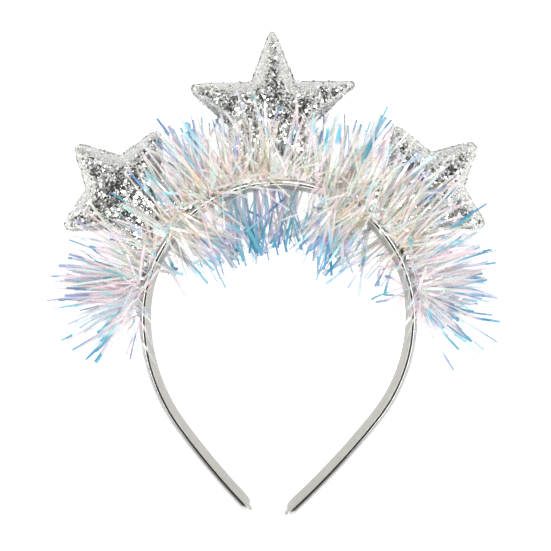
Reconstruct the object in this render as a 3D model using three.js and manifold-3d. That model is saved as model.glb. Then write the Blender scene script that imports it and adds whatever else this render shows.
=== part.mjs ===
// Star headband lying on its back: a covered strip bent to the head, three puffed stars that stand on its
// crown, and a tinsel garland as two fringes, one outside the strip and one that fans out inside it.
// Every piece is drawn in the loop's own frame: the crown arc's centre is the origin, +Y points to the top
// of the crown, +Z out of the loop's front, and the strip's back edge is at z = 0. The finished loop is
// then tipped back a little, because its crown lies on tinsel and its two tips lie on the table.
import * as THREE from "three";
import { mergeVertices } from "three/addons/utils/BufferGeometryUtils.js";
import Module from "manifold-3d";

// Driving dimensions, in millimetres and degrees. A bearing turns clockwise from the top of the crown.
const GAP = 0.3;
const TIP_BACK_TILT = 1.6;

// Strip: a crown arc of 90 degrees a side, then a temple arc, then a leg that is nearly straight
const CROWN_RADIUS = 60.3;
const CROWN_SWEEP = 90;
const STRIP = { width: 13, thickness: 3, edgeRadius: 0.9, edgeSteps: 2, stationSpacing: 6 };
const STRIP_END = { cornerRadius: 4, cornerSteps: 4 };
const LEGS = {
  left: { templeRadius: 83.5, templeSweep: 36.3, legRadius: 362.5, legLength: 47.5 },
  right: { templeRadius: 72.5, templeSweep: 38.6, legRadius: 368.5, legLength: 58.6 },
};

// Stars, clockwise from the top arm: corner reach of each arm and of the notch after it, and how far the
// rounding of each tip sets back from its corner
const CENTER_STAR = {
  arms: [38.6, 40.4, 50, 50, 43.3],
  notches: [16.6, 18.6, 16.6, 20.4, 16.6],
  tipSetbacks: [5.5, 3.8, 5.5, 5.5, 9.5],
};
const SMALL_STAR = { arms: [35, 35, 42, 42, 35], tipSetbacks: [7.5, 7.5, 7.5, 7.5, 7.5] };
const LEFT_STAR = { ...SMALL_STAR, notches: [17.8, 17.2, 17.2, 17.2, 18.6] };
const RIGHT_STAR = { ...SMALL_STAR, notches: [18.6, 17.2, 17.2, 17.2, 17.8] };
const STAR_ROWS = [
  { name: "star_center", shape: CENTER_STAR, bearing: -1.3, distance: 92.9, turn: -1.4 },
  { name: "star_left", shape: LEFT_STAR, bearing: -51.1, distance: 87.9, turn: -45.8 },
  { name: "star_right", shape: RIGHT_STAR, bearing: 48.9, distance: 86.6, turn: 48 },
];
const STAR = { thickness: 11, bevel: 5, rimHalf: 0.6, notchSetback: 1.6, cornerSteps: 3, edgeSteps: 2 };
const STAR_RING_SCALES = [1, 0.94, 0.84, 0.68, 0.42];
const STAR_CLEARANCE = { scale: 1.04, thicknessScale: 1.08 };

// Tinsel: how far its outer form stands out from the strip's middle line, and how high it puffs up
const TINSEL_ROWS = [
  { bearing: -104, outer: 8, inner: 3.5, height: 14 },
  { bearing: -97, outer: 22, inner: 4, height: 20 },
  { bearing: -86, outer: 33, inner: 9, height: 25 },
  { bearing: -70, outer: 36, inner: 20, height: 28 },
  { bearing: -52, outer: 34, inner: 27, height: 28 },
  { bearing: -32, outer: 33, inner: 30, height: 28 },
  { bearing: -12, outer: 35, inner: 31, height: 28 },
  { bearing: 12, outer: 35, inner: 31, height: 28 },
  { bearing: 32, outer: 33, inner: 31, height: 28 },
  { bearing: 52, outer: 34, inner: 28, height: 28 },
  { bearing: 68, outer: 37, inner: 20, height: 28 },
  { bearing: 82, outer: 35, inner: 9, height: 25 },
  { bearing: 91, outer: 24, inner: 4, height: 20 },
  { bearing: 97, outer: 9, inner: 3.5, height: 14 },
];
const TINSEL_STATION_STEP = 4.2;
// Outline of the outer fringe from the strip over the top to the table: share of its reach and of its height
const OUTER_OUTLINE = [
  { reach: 0, height: 0.5 },
  { reach: 0.1, height: 0.88 },
  { reach: 0.32, height: 1 },
  { reach: 0.58, height: 0.9 },
  { reach: 0.83, height: 0.6 },
  { reach: 1, height: 0.28 },
  { reach: 0.96, height: 0 },
];
// Outline of the inner fringe from the strip's inner face to its inner rim: share of reach, height in mm
const INNER_OUTLINE = [
  { reach: 0, height: 3 },
  { reach: 0.35, height: 5 },
  { reach: 0.75, height: 4 },
  { reach: 1, height: 1 },
];
const INNER_FOOT = 0.5;

const SILVER = new THREE.MeshStandardMaterial({ color: 0xb9bbbd, roughness: 0.3, metalness: 0.9 });
const GLITTER = new THREE.MeshStandardMaterial({ color: 0xa9abae, roughness: 0.45, metalness: 0.8 });
const FILM = new THREE.MeshStandardMaterial({ color: 0xdfe4ee, roughness: 0.25, metalness: 0.2 });

const rad = THREE.MathUtils.degToRad;
const wasm = await Module();
wasm.setup();

function direction(bearing) {
  return new THREE.Vector2(Math.sin(rad(bearing)), Math.cos(rad(bearing)));
}

// A closed surface from vertices and triangles, turned inside out if its faces point inwards
function closedGeometry(vertices, triangles) {
  const geometry = new THREE.BufferGeometry().setFromPoints(vertices);
  const volume = triangles.reduce((sum, [a, b, c]) => {
    return sum + vertices[a].dot(vertices[b].clone().cross(vertices[c]));
  }, 0);
  const facing = volume > 0 ? triangles : triangles.map(([a, b, c]) => [a, c, b]);
  geometry.setIndex(facing.flat());
  return geometry;
}

// Triangles that fill a flat outline, each turning the way that the outline runs
function capTriangles(outline) {
  return THREE.ShapeUtils.triangulateShape(outline, []).map((corners) => corners.sort((a, b) => a - b));
}

// A solid through closed rings of equal count, capped at both ends; sections are the rings' flat outlines
function loftGeometry(rings, sections) {
  const count = rings[0].length;
  const triangles = [];
  for (let ring = 0; ring + 1 < rings.length; ring++) {
    for (let i = 0; i < count; i++) {
      const here = ring * count + i;
      const next = ring * count + ((i + 1) % count);
      triangles.push([here, next, next + count], [here, next + count, here + count]);
    }
  }
  const lastRing = (rings.length - 1) * count;
  triangles.push(...capTriangles(sections[0]).map((corners) => corners.reverse()));
  triangles.push(...capTriangles(sections.at(-1)).map((corners) => corners.map((i) => lastRing + i)));
  return closedGeometry(rings.flat(), triangles);
}

function toManifold(geometry) {
  const bare = geometry.clone();
  bare.deleteAttribute("normal");
  bare.deleteAttribute("uv");
  const merged = mergeVertices(bare, 1e-5);
  return new wasm.Manifold(
    new wasm.Mesh({
      numProp: 3,
      vertProperties: new Float32Array(merged.attributes.position.array),
      triVerts: new Uint32Array(merged.index.array),
    }),
  );
}

function toGeometry(manifold) {
  const { vertProperties, triVerts } = manifold.getMesh();
  const geometry = new THREE.BufferGeometry();
  geometry.setAttribute("position", new THREE.BufferAttribute(vertProperties, 3));
  geometry.setIndex(new THREE.BufferAttribute(triVerts, 1));
  return geometry;
}

// One side's arcs from the top of the crown to the tip, each with its centre and its range of bearings
function sideArcs({ templeRadius, templeSweep, legRadius, legLength }) {
  const spans = [
    { radius: CROWN_RADIUS, sweep: CROWN_SWEEP },
    { radius: templeRadius, sweep: templeSweep },
    { radius: legRadius, sweep: THREE.MathUtils.radToDeg(legLength / legRadius) },
  ];
  const arcs = [];
  const centre = new THREE.Vector2();
  let from = 0;
  for (const { radius, sweep } of spans) {
    if (arcs.length) centre.addScaledVector(direction(from), arcs.at(-1).radius - radius);
    arcs.push({ centre: centre.clone(), radius, from, to: from + sweep });
    from += sweep;
  }
  return arcs;
}

const ARCS = { left: sideArcs(LEGS.left), right: sideArcs(LEGS.right) };

// The strip's middle line at a bearing, negative on the left, and the way that points out of the loop
function stripAt(bearing) {
  const arcs = bearing < 0 ? ARCS.left : ARCS.right;
  const turn = Math.abs(bearing);
  const arc = arcs.find(({ to }) => turn <= to) ?? arcs.at(-1);
  const mirror = new THREE.Vector2(Math.sign(bearing) || 1, 1);
  const outward = direction(turn);
  const point = arc.centre.clone().addScaledVector(outward, arc.radius);
  return { point: point.multiply(mirror), outward: outward.multiply(mirror) };
}

// Bearings of the strip's sections on one side, closer together over the rounded corners of its end
function sideBearings(arcs) {
  const bearings = [];
  for (const { radius, from, to } of arcs) {
    const steps = Math.ceil((rad(to - from) * radius) / STRIP.stationSpacing);
    for (let i = 1; i <= steps; i++) {
      bearings.push(THREE.MathUtils.lerp(from, to, i / steps));
    }
  }
  const leg = arcs.at(-1);
  const cornerStart = leg.to - THREE.MathUtils.radToDeg(STRIP_END.cornerRadius / leg.radius);
  const rounded = [];
  for (let i = 0; i <= STRIP_END.cornerSteps; i++) {
    const along = Math.sin((Math.PI / 2) * (i / STRIP_END.cornerSteps));
    rounded.push(THREE.MathUtils.lerp(cornerStart, leg.to, along));
  }
  return [...bearings.filter((bearing) => bearing < cornerStart - 0.2), ...rounded];
}

// The strip's half width, less where the corners of its end are rounded off
function stripHalfWidth(bearing) {
  const leg = (bearing < 0 ? ARCS.left : ARCS.right).at(-1);
  const fromEnd = rad(leg.to - Math.abs(bearing)) * leg.radius;
  const { cornerRadius } = STRIP_END;
  const cut = Math.max(0, cornerRadius - fromEnd);
  return STRIP.width / 2 - cornerRadius + Math.sqrt(Math.max(0, cornerRadius ** 2 - cut ** 2));
}

// A flat strip's section with rounded edges, as offsets outwards and across the strip from its middle line
function stripSection(halfWidth) {
  const { thickness, edgeRadius, edgeSteps } = STRIP;
  const out = thickness / 2 - edgeRadius;
  const across = halfWidth - edgeRadius;
  const corners = [[out, across], [-out, across], [-out, -across], [out, -across]];
  return corners.flatMap(([x, y], corner) => {
    return Array.from({ length: edgeSteps + 1 }, (_, i) => {
      const angle = (Math.PI / 2) * (corner + i / edgeSteps);
      return new THREE.Vector2(x + edgeRadius * Math.cos(angle), y + edgeRadius * Math.sin(angle));
    });
  });
}

// Places section points, given as offset outwards and height, on the strip's line at a bearing
function placeSection(bearing, section) {
  const { point, outward } = stripAt(bearing);
  return section.map(({ x, y }) => {
    const flat = point.clone().addScaledVector(outward, x);
    return new THREE.Vector3(flat.x, flat.y, y);
  });
}

function bandGeometry() {
  const left = sideBearings(ARCS.left).map((bearing) => -bearing);
  const bearings = [...left.reverse(), 0, ...sideBearings(ARCS.right)];
  const sections = bearings.map((bearing) => stripSection(stripHalfWidth(bearing)));
  const rings = bearings.map((bearing, i) => {
    return placeSection(bearing, sections[i]).map((p) => p.setZ(p.z + STRIP.width / 2));
  });
  return loftGeometry(rings, sections);
}

// A star's flat outline about its own centre, top arm up, with every tip and notch rounded
function starOutline({ arms, notches, tipSetbacks }) {
  const corners = arms.flatMap((reach, arm) => [
    { at: direction(72 * arm).multiplyScalar(reach), setback: tipSetbacks[arm] },
    { at: direction(72 * arm + 36).multiplyScalar(notches[arm]), setback: STAR.notchSetback },
  ]);
  const points = [];
  corners.forEach(({ at, setback }, i) => {
    const before = corners.at(i - 1).at;
    const after = corners[(i + 1) % corners.length];
    const start = at.clone().add(before.clone().sub(at).setLength(setback));
    const end = at.clone().add(after.at.clone().sub(at).setLength(setback));
    points.push(...new THREE.QuadraticBezierCurve(start, at, end).getPoints(STAR.cornerSteps));
    const edgeEnd = after.at.clone().add(at.clone().sub(after.at).setLength(after.setback));
    for (let step = 1; step < STAR.edgeSteps; step++) {
      points.push(end.clone().lerp(edgeEnd, step / STAR.edgeSteps));
    }
  });
  return points;
}

function distanceToOutline(point, outline) {
  const nearest = new THREE.Vector3();
  const spot = new THREE.Vector3(point.x, point.y, 0);
  return Math.min(...outline.map((start, i) => {
    const end = outline[(i + 1) % outline.length];
    const edge = new THREE.Line3(new THREE.Vector3(start.x, start.y, 0), new THREE.Vector3(end.x, end.y, 0));
    return edge.closestPointToPoint(spot, true, nearest).distanceTo(spot);
  }));
}

// A puffed star about its own centre: it rises from its rim as a quarter round, then stays level
function starGeometry(shape) {
  const outline = starOutline(shape);
  const count = outline.length;
  const half = STAR.thickness / 2;
  const rise = (point) => {
    const short = 1 - Math.min(1, distanceToOutline(point, outline) / STAR.bevel);
    return STAR.rimHalf + (half - STAR.rimHalf) * Math.sqrt(1 - short ** 2);
  };
  const rings = STAR_RING_SCALES.map((scale) => outline.map((p) => p.clone().multiplyScalar(scale)));
  const heights = rings.map((ring) => ring.map(rise));
  const vertices = [];
  const triangles = [];
  for (const face of [1, -1]) {
    const first = vertices.length;
    rings.forEach((ring, r) => {
      ring.forEach((p, i) => vertices.push(new THREE.Vector3(p.x, p.y, face * heights[r][i])));
    });
    const middle = vertices.push(new THREE.Vector3(0, 0, face * half)) - 1;
    for (let i = 0; i < count; i++) {
      const next = (i + 1) % count;
      for (let r = 0; r + 1 < rings.length; r++) {
        const [a, b] = [first + r * count + i, first + r * count + next];
        const quad = [[a, b, b + count], [a, b + count, a + count]];
        triangles.push(...quad.map(([p, q, s]) => (face > 0 ? [p, q, s] : [s, q, p])));
      }
      const [a, b] = [middle - count + i, middle - count + next];
      triangles.push(face > 0 ? [a, b, middle] : [middle, b, a]);
    }
  }
  const back = rings.length * count + 1;
  for (let i = 0; i < count; i++) {
    const next = (i + 1) % count;
    triangles.push([i, i + back, next + back], [i, next + back, next]);
  }
  return closedGeometry(vertices, triangles);
}

// Puts a star's geometry where it stands on the crown, level with the middle of the strip's width
function placeStar(geometry, { bearing, distance, turn }) {
  const centre = direction(bearing).multiplyScalar(distance);
  return geometry.rotateZ(rad(-turn)).translate(centre.x, centre.y, STRIP.width / 2);
}

// A star whose feet are cut to the curve of the strip that they stand on
function standingStar(row) {
  const reach = CROWN_RADIUS + STRIP.thickness / 2 + GAP;
  const strip = new THREE.CylinderGeometry(reach, reach, 4 * STRIP.width, 120).rotateX(Math.PI / 2);
  return toManifold(placeStar(starGeometry(row.shape), row)).subtract(toManifold(strip));
}

// The room that a star takes up in the tinsel, a little larger than the star all round
function starRoom(row) {
  const { scale, thicknessScale } = STAR_CLEARANCE;
  return toManifold(placeStar(starGeometry(row.shape).scale(scale, scale, thicknessScale), row));
}

// The table's height in the loop's frame, which falls away under the raised crown
const TABLE_START = ARCS.right.at(-1);
const TIP_Y = TABLE_START.centre.y + TABLE_START.radius * direction(TABLE_START.to).y;
function tableHeight(y) {
  return -(y - TIP_Y - STRIP_END.cornerRadius) * Math.tan(rad(TIP_BACK_TILT));
}

function tinselAt(bearing) {
  const after = Math.max(1, TINSEL_ROWS.findIndex((row) => row.bearing >= bearing));
  const [a, b] = [TINSEL_ROWS[after - 1], TINSEL_ROWS[after]];
  const share = THREE.MathUtils.inverseLerp(a.bearing, b.bearing, bearing);
  const between = (column) => THREE.MathUtils.lerp(a[column], b[column], share);
  return { outer: between("outer"), inner: between("inner"), height: between("height") };
}

// A fringe lofted along the strip from one end of the tinsel to the other
function fringeGeometry(fringeSection) {
  const [first, last] = [TINSEL_ROWS[0].bearing, TINSEL_ROWS.at(-1).bearing];
  const steps = Math.round((last - first) / TINSEL_STATION_STEP);
  const bearings = Array.from({ length: steps + 1 }, (_, i) => {
    return Math.min(last, THREE.MathUtils.lerp(first, last, i / steps));
  });
  const sections = bearings.map((bearing) => {
    const { point, outward } = stripAt(bearing);
    const table = (offset) => tableHeight(point.y + outward.y * offset);
    return fringeSection(tinselAt(bearing), table).map(([x, y]) => new THREE.Vector2(x, y));
  });
  return loftGeometry(bearings.map((bearing, i) => placeSection(bearing, sections[i])), sections);
}

// Outside the strip: a mound from the strip's outer face that lies flat on the table
function outerSection({ outer, height }, table) {
  const start = STRIP.thickness / 2 + GAP;
  const outline = OUTER_OUTLINE.map((row) => {
    const offset = start + row.reach * (outer - start);
    return [offset, THREE.MathUtils.lerp(table(offset), height, row.height)];
  });
  return [...outline, [start, table(start)]];
}

// Inside the strip: a low fan that passes under the strip's back edge and lies flat on the table
function innerSection({ inner }, table) {
  const outside = STRIP.thickness / 2;
  const inside = -STRIP.thickness / 2 - GAP;
  const outline = INNER_OUTLINE.map((row) => {
    const offset = inside - row.reach * (inner + inside);
    return [offset, table(offset) + row.height - table(inside) * (1 - row.reach)];
  });
  const rim = -inner + INNER_FOOT;
  return [[outside, table(outside)], [outside, -GAP], [inside, -GAP], ...outline, [rim, table(rim)]];
}

function pieceMesh(name, geometry, material) {
  const mesh = new THREE.Mesh(geometry, material.clone());
  mesh.name = name;
  return mesh;
}

const loop = new THREE.Group();
loop.add(pieceMesh("band", bandGeometry(), SILVER));
for (const row of STAR_ROWS) {
  loop.add(pieceMesh(row.name, toGeometry(standingStar(row)), GLITTER));
}
const outerTinsel = STAR_ROWS.reduce((tinsel, row) => {
  return tinsel.subtract(starRoom(row));
}, toManifold(fringeGeometry(outerSection)));
loop.add(pieceMesh("tinsel_outer", toGeometry(outerTinsel), FILM));
loop.add(pieceMesh("tinsel_inner", fringeGeometry(innerSection), FILM));

// The whole headband on the table: the table is z = 0, and the middle of its plan is the origin
loop.rotation.x = rad(TIP_BACK_TILT);
const headband = new THREE.Group();
headband.add(loop);
headband.updateMatrixWorld(true);
const box = new THREE.Box3().setFromObject(headband, true);
const middle = box.getCenter(new THREE.Vector3());
loop.position.set(-middle.x, -middle.y, -box.min.z);

export default headband;
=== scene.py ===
import math

import bpy
import numpy as np
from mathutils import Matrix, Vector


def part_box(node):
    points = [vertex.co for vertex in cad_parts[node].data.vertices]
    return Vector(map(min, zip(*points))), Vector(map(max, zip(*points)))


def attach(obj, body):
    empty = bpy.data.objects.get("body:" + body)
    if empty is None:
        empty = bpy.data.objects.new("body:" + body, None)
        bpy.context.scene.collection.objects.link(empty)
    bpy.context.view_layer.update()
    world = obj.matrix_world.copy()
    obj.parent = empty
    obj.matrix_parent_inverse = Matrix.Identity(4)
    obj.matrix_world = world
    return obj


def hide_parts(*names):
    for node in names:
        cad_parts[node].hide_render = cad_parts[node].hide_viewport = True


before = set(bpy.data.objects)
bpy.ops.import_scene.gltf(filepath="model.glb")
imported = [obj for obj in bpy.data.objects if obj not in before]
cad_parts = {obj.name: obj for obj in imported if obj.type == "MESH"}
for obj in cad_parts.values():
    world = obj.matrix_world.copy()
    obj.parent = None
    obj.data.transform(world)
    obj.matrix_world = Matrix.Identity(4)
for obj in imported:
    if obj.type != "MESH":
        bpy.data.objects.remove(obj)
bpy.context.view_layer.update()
print("frame loaded:", sorted(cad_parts))

mm = 0.001

# the loop's own frame, in mm: crown centre at 0, +Y to the crown's top, +Z out of the front,
# the strip's back edge at z = 0; bearings are degrees clockwise from the crown's top
strip = dict(
    crownRadius=60.3,
    crownSweep=90.0,
    left=dict(templeRadius=83.5, templeSweep=36.3, legRadius=362.5, legLength=47.5),
    right=dict(templeRadius=72.5, templeSweep=38.6, legRadius=368.5, legLength=58.6),
    width=13.0,
    thickness=3.0,
    edgeRadius=0.9,
    tipBack=1.6,  # the crown lies on tinsel, so the loop leans back on its tips
)


def bearingWay(bearing):
    turn = np.radians(bearing)
    return np.stack([np.sin(turn), np.cos(turn)], -1)


def sideArcs(leg):
    sweeps = [
        (strip["crownRadius"], strip["crownSweep"]),
        (leg["templeRadius"], leg["templeSweep"]),
        (leg["legRadius"], math.degrees(leg["legLength"] / leg["legRadius"])),
    ]
    arcs = []
    centre = np.zeros(2)
    start = 0.0
    for radius, sweep in sweeps:
        if arcs:
            centre = centre + bearingWay(start) * (arcs[-1]["radius"] - radius)
        arcs.append(dict(centre=centre, radius=radius, start=start, end=start + sweep))
        start += sweep
    return arcs


arcsLeft = sideArcs(strip["left"])
arcsRight = sideArcs(strip["right"])


# middle line of the strip and the way out of the loop, for an array of bearings
def stripLine(bearing):
    bearing = np.asarray(bearing, float)
    turn = np.abs(bearing)
    out = bearingWay(turn)
    point = np.zeros_like(out)
    for onSide, arcs in ((bearing < 0, arcsLeft), (bearing >= 0, arcsRight)):
        for arc in arcs:
            here = onSide & (turn >= arc["start"])
            point[here] = arc["centre"] + arc["radius"] * out[here]
    flip = np.stack([np.where(bearing < 0, -1.0, 1.0), np.ones_like(turn)], -1)
    return point * flip, out * flip


leanSin = math.sin(math.radians(strip["tipBack"]))
leanCos = math.cos(math.radians(strip["tipBack"]))
bandLow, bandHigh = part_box("band")
crownOut = strip["crownRadius"] + strip["thickness"] / 2
loopOrigin = np.array([
    (bandLow.x + bandHigh.x) / 2 / mm,
    bandHigh.y / mm - crownOut * leanCos + strip["edgeRadius"] * leanSin,
    bandHigh.z / mm - (crownOut - strip["edgeRadius"]) * leanSin - strip["width"] * leanCos,
])


# loop mm to metres on the table
def toTable(points):
    x, y, z = np.moveaxis(np.asarray(points, float), -1, 0)
    placed = np.stack([x, y * leanCos - z * leanSin, y * leanSin + z * leanCos], -1)
    return (placed + loopOrigin) * mm


# height of the table top in the loop's frame
def tableHeight(y):
    return -(loopOrigin[2] + y * leanSin) / leanCos


def makePiece(name, points, faces, smooth=True):
    mesh = bpy.data.meshes.new(name)
    mesh.from_pydata(toTable(points).tolist(), [], faces)
    mesh.polygons.foreach_set("use_smooth", np.full(len(mesh.polygons), smooth))
    mesh.update()
    piece = bpy.data.objects.new(name, mesh)
    bpy.context.scene.collection.objects.link(piece)
    return piece


def addValues(piece, name, values):
    layer = piece.data.attributes.new(name, "FLOAT", "POINT")
    layer.data.foreach_set("value", np.asarray(values, np.float32).ravel())


# a small colour chart map, so strands and flakes keep their tints when the looks are baked
def addChartMap(piece, across, up):
    corners = np.zeros(len(piece.data.loops), np.int32)
    piece.data.loops.foreach_get("vertex_index", corners)
    places = np.stack([np.ravel(across), np.ravel(up)], -1)[corners]
    layer = piece.data.uv_layers.new(name="OFBake")
    layer.data.foreach_set("uv", places.astype(np.float32).ravel())


def smoothStep(low, high, value):
    t = np.clip((value - low) / (high - low), 0, 1)
    return t * t * (3 - 2 * t)


def unit(vectors):
    return vectors / np.maximum(np.linalg.norm(vectors, axis=-1, keepdims=True), 1e-9)


# node helpers
def linear(red, green, blue):
    shares = np.array([red, green, blue]) / 255
    curved = np.where(shares < 0.04045, shares / 12.92, ((shares + 0.055) / 1.055) ** 2.4)
    return (*curved.tolist(), 1.0)


def newMaterial(name):
    material = bpy.data.materials.new(name)
    material.use_nodes = True
    return material, material.node_tree, material.node_tree.nodes["Principled BSDF"]


# values are set on the sockets, outputs of other nodes are linked to them
def setInputs(tree, node, inputs):
    for key, value in inputs.items():
        if isinstance(value, bpy.types.NodeSocket):
            tree.links.new(value, node.inputs[key])
        else:
            node.inputs[key].default_value = value


def addNode(tree, kind, inputs, output=0, **settings):
    node = tree.nodes.new(kind)
    for key, value in settings.items():
        setattr(node, key, value)
    setInputs(tree, node, inputs)
    return node.outputs[output]


def addRamp(tree, factor, stops):
    node = tree.nodes.new("ShaderNodeValToRGB")
    elements = node.color_ramp.elements
    while len(elements) < len(stops):
        elements.new(0.5)
    for element, (place, colour) in zip(elements, stops):
        element.position = place
        element.color = linear(*colour)
    setInputs(tree, node, {"Fac": factor})
    return node.outputs["Color"]


def addAttribute(tree, name):
    return addNode(tree, "ShaderNodeAttribute", {}, "Fac", attribute_name=name)


def addMix(tree, factor, first, second):
    return addNode(tree, "ShaderNodeMix", {0: factor, 6: first, 7: second}, 2, data_type="RGBA")


def addBlend(tree, factor, first, second):
    return addNode(tree, "ShaderNodeMix", {0: factor, 2: first, 3: second}, data_type="FLOAT")


def addRange(tree, value, fromLow, fromHigh, toLow, toHigh, **settings):
    limits = {0: value, 1: fromLow, 2: fromHigh, 3: toLow, 4: toHigh}
    return addNode(tree, "ShaderNodeMapRange", limits, **settings)


# camera straight above the lying loop, as far away as the picture's perspective asks
view = dict(eye=(-1.33, 18.8, 302.0), lens=42.64, sensor=36.0, near=0.01)
cameraData = bpy.data.cameras.new("camera")
cameraData.lens = view["lens"]
cameraData.sensor_width = view["sensor"]
cameraData.clip_start = view["near"]
camera = bpy.data.objects.new("camera", cameraData)
camera.location = toTable(view["eye"])
camera.rotation_euler = (math.radians(strip["tipBack"]), 0, 0)
bpy.context.scene.collection.objects.link(camera)
bpy.context.scene.camera = camera

# studio: a bright tent all round with a dark hole overhead, where the camera looks through
studio = dict(
    tent=1.75,
    hole=0.09,
    holeLean=7.0,  # degrees from straight up, towards the legs
    holeEdge=27.0,
    tentEdge=41.0,
    legSide=0.45,  # how much brighter the tent is towards the legs
    floorTone=(250, 250, 250),
    floorGlow=0.4,  # lit from below like a light table
    floorRadius=3.0,
    floorSides=96,
    floorRoughness=0.9,
    lamp=dict(power=0.75, size=0.11, height=450.0),  # soft lamp round the lens
)


def makeStudio():
    world = bpy.data.worlds.new("studio")
    world.use_nodes = True
    tree = world.node_tree
    spot = addNode(tree, "ShaderNodeTexCoord", {}, "Generated")
    lean = math.radians(studio["holeLean"])
    upward = (0.0, -math.sin(lean), math.cos(lean))
    aim = addNode(tree, "ShaderNodeVectorMath", {0: spot, 1: upward}, "Value", operation="DOT_PRODUCT")
    edges = [math.cos(math.radians(studio[key])) for key in ("tentEdge", "holeEdge")]
    overhead = addRange(tree, aim, *edges, 0.0, 1.0, interpolation_type="SMOOTHSTEP")
    slope = (-1.0, 1.0, studio["tent"] + studio["legSide"], studio["tent"] - studio["legSide"])
    side = addRange(tree, addNode(tree, "ShaderNodeSeparateXYZ", {0: spot}, "Y"), *slope)
    power = addBlend(tree, overhead, side, studio["hole"])
    setInputs(tree, tree.nodes["Background"], {"Color": (1.0, 1.0, 1.0, 1.0), "Strength": power})
    bpy.context.scene.world = world

    sides = studio["floorSides"]
    rim = bearingWay(np.linspace(0, 360, sides, endpoint=False)) * studio["floorRadius"]
    mesh = bpy.data.meshes.new("floor")
    mesh.from_pydata([(x, y, 0.0) for x, y in rim[::-1].tolist()], [], [list(range(sides))])
    floor = bpy.data.objects.new("floor", mesh)
    bpy.context.scene.collection.objects.link(floor)
    material, tree, shader = newMaterial("floor paint")
    setInputs(tree, shader, {
        "Base Color": linear(*studio["floorTone"]),
        "Roughness": studio["floorRoughness"],
        "Specular IOR Level": 0.0,
        "Emission Color": (1.0, 1.0, 1.0, 1.0),
        "Emission Strength": studio["floorGlow"],
    })
    mesh.materials.append(material)

    lamp = studio["lamp"]
    lampData = bpy.data.lights.new("lens lamp", "AREA")
    lampData.shape = "DISK"
    lampData.size = lamp["size"]
    lampData.energy = lamp["power"]
    lensLamp = bpy.data.objects.new("lens lamp", lampData)
    lensLamp.location = toTable((*view["eye"][:2], lamp["height"]))
    lensLamp.rotation_euler = camera.rotation_euler
    lensLamp.visible_camera = False
    bpy.context.scene.collection.objects.link(lensLamp)
    bpy.context.scene.view_settings.view_transform = "Standard"
    print("studio ready")


makeStudio()

# covered strip: leatherette folded round it, with a dark seam along the edge where it meets the lining, and
# painted shade on its outer side
cover = dict(
    spacing=1.1,
    cornerRadius=4.0,
    outerRound=0.8,  # shares of half the thickness; the fold is softer outside
    innerRound=0.24,
    foldSlope=18.0,  # degrees that the folded edge falls away outwards
    roundSteps=6,
    seam=dict(
        place=(-0.14, -0.2, -0.28, -0.62, -0.7, -0.74),  # across the edge, in half thicknesses
        depth=(0.0, 0.12, 0.3, 0.3, 0.12, 0.0),
        dark=(0.0, 1.0, 1.0, 1.0, 1.0, 0.0),
        fadeNearTip=(1.0, 3.0),
        tone=(44, 42, 39),
    ),
    liningEdge=(-0.76, -0.9),  # where the lining begins inside the seam
    coverEdge=(0.58, 0.76),  # where the folded edge turns into the outside
    endRound=0.9,
    nearTip=0.36,  # share of the corner where the sections are closer together
    nearTipSteps=6,
    lip=2.0,  # the cover pressed flat past each tip
    lipPlaces=(0.1, 0.5, 0.8, 0.95, 1.0),
    lipNarrow=0.4,
    lipThickness=0.25,
    liningTone=[(0.3, (144, 142, 137)), (0.5, (157, 155, 150)), (0.7, (171, 169, 163))],
    # the outer side's darker tone is painted shade, the falloff where the fold turns away at the
    # silhouette; the folded edge has the leatherette's own tone
    foldTone=(176, 176, 174),
    outsideShadeTone=(134, 134, 132),
    liningRoughness=(0.4, 0.56),
    coverRoughness=0.17,
    metallic=0.7,
    grain=dict(scale=(1400.0, 1400.0, 160.0), detail=3.0, roughness=0.6, span=(0.3, 0.7)),  # runs across
    cloud=dict(scale=130.0, detail=2.0, share=0.2),
    bump=dict(strength=0.22, depth=0.0001),
)


def stripSection(halfWidth, halfThick, seamShare):
    seam = cover["seam"]
    rounds = []
    for share, slope in ((cover["outerRound"], cover["foldSlope"]), (cover["innerRound"], 0.0)):
        turns = np.radians(np.linspace(0, 90 - slope, cover["roundSteps"]))
        radius = share * halfThick
        fall = (halfThick - radius - seam["place"][0] * halfThick) * math.tan(math.radians(slope))
        drop = fall + radius / math.cos(math.radians(slope))
        corner = np.array([halfThick - radius, halfWidth - drop])
        rounds.append(corner + radius * np.stack([np.cos(turns), np.sin(turns)], -1))
    dip = np.column_stack([
        np.array(seam["place"]) * halfThick,
        halfWidth - np.array(seam["depth"]) * seamShare,
    ])
    front = np.concatenate([rounds[0], dip, (rounds[1] * [-1, 1])[::-1]])
    none = np.zeros(len(turns))
    dark = np.concatenate([none, np.array(seam["dark"]) * seamShare, none])
    return np.concatenate([front, (front * [1, -1])[::-1]]), np.concatenate([dark, dark[::-1]])


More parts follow.
